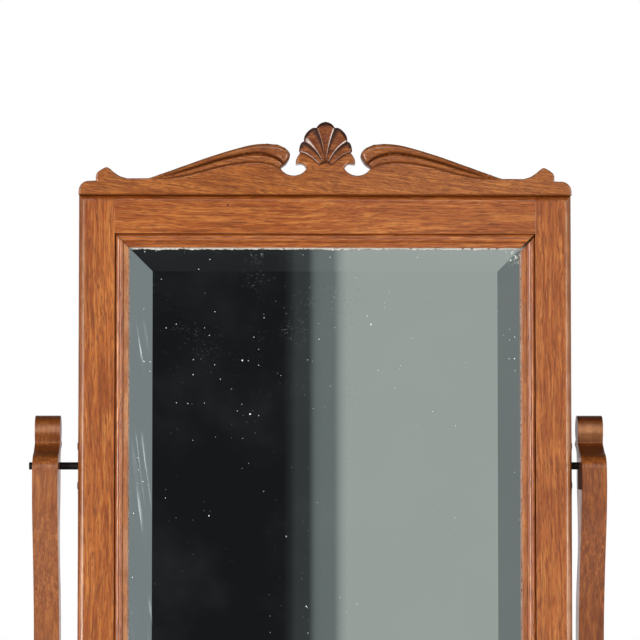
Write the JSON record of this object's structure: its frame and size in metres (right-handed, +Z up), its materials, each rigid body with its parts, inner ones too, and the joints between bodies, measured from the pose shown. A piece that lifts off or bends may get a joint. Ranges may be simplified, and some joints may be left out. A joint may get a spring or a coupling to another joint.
{
  "type": "shaving stand",
  "caption": "Oak shaving stand: a bevelled swing mirror with a carved crest between two sawn arms, on a small case with drawer, cupboard and cabriole legs.",
  "frame": {"origin": "on the floor, at the middle of the stand's width and depth", "axes": "+Z up, the stand faces -Y, +X to the viewer's right"},
  "size_m": [0.52, 0.38, 1.6746],
  "materials": {
    "oak": "golden oak with an aged shellac finish",
    "oak_dark": "darker golden oak with an aged shellac finish",
    "oak_inside": "plain unfinished wood, slightly aged",
    "black_iron": "blackened steel, dull",
    "brass": "aged brass with a dull shine",
    "mirror_glass": "silvered plate glass with a ground bevel, slightly worn"
  },
  "bodies": {
    "stand": {"leg_front_left": "oak", "leg_front_right": "oak", "leg_back_left": "oak", "leg_back_right": "oak", "side_panel_left": "oak", "side_panel_right": "oak", "back_panel": "oak_inside", "case_bottom": "oak", "drawer_divider": "oak", "front_top_rail": "oak", "apron_front": "oak", "apron_left": "oak", "apron_right": "oak", "drawer_guides": "oak_inside", "top_board": "oak_dark", "lower_shelf": "oak", "cupboard_shelf": "oak_inside", "shelf_cleats": "oak_inside", "arm_left": "oak", "arm_right": "oak", "arm_cross_rail": "oak", "arm_screws": "black_iron", "hinge_leaves_case": "brass", "hinge_pins": "brass"},
    "mirror": {"mirror_stile_left": "oak", "mirror_stile_right": "oak", "mirror_top_rail": "oak", "mirror_bottom_rail": "oak", "glass_bead_top": "oak", "glass_bead_bottom": "oak", "glass_bead_left": "oak", "glass_bead_right": "oak", "mirror_glass": "mirror_glass", "mirror_back_board": "oak_inside", "back_board_screws": "brass", "crest_board": "oak", "crest_shell": "oak_dark", "crest_dowels": "oak_inside", "pivot_plate_left": "black_iron", "pivot_plate_right": "black_iron", "pivot_plate_screws": "black_iron", "pivot_pin_left": "black_iron", "pivot_pin_right": "black_iron"},
    "drawer": {"drawer_front": "oak", "drawer_side_left": "oak_inside", "drawer_side_right": "oak_inside", "drawer_back": "oak_inside", "drawer_bottom": "oak_inside", "pull_plates": "brass"},
    "bail_left": {"pull_bail_left": "brass"},
    "bail_right": {"pull_bail_right": "brass"},
    "door": {"door_stile_left": "oak", "door_stile_right": "oak", "door_top_rail": "oak", "door_bottom_rail": "oak", "door_panel": "oak", "hinge_leaves_door": "brass"},
    "catch": {"catch_knob": "brass"}
  },
  "joints": [
    {"name": "mirror_tilt", "type": "hinge", "parent": "stand", "child": "mirror", "pos_m": [0, 0.095, 1.375], "axis": [1, 0, 0], "continuous": true},
    {"name": "drawer_slide", "type": "slide", "parent": "stand", "child": "drawer", "axis": [0, -1, 0], "range_m": [0, 0.23]},
    {"name": "bail_left_swing", "type": "hinge", "parent": "drawer", "child": "bail_left", "pos_m": [-0.095, -0.1755, 0.944], "axis": [-1, 0, 0], "range_deg": [0, 150]},
    {"name": "bail_right_swing", "type": "hinge", "parent": "drawer", "child": "bail_right", "pos_m": [0.095, -0.1755, 0.944], "axis": [-1, 0, 0], "range_deg": [0, 150]},
    {"name": "door_swing", "type": "hinge", "parent": "stand", "child": "door", "pos_m": [-0.19125, -0.169, 0.727], "axis": [0, 0, -1], "range_deg": [0, 170]},
    {"name": "catch_turn", "type": "hinge", "parent": "door", "child": "catch", "pos_m": [0.1675, -0.156, 0.727], "axis": [0, -1, 0], "range_deg": [0, 90]}
  ]
}
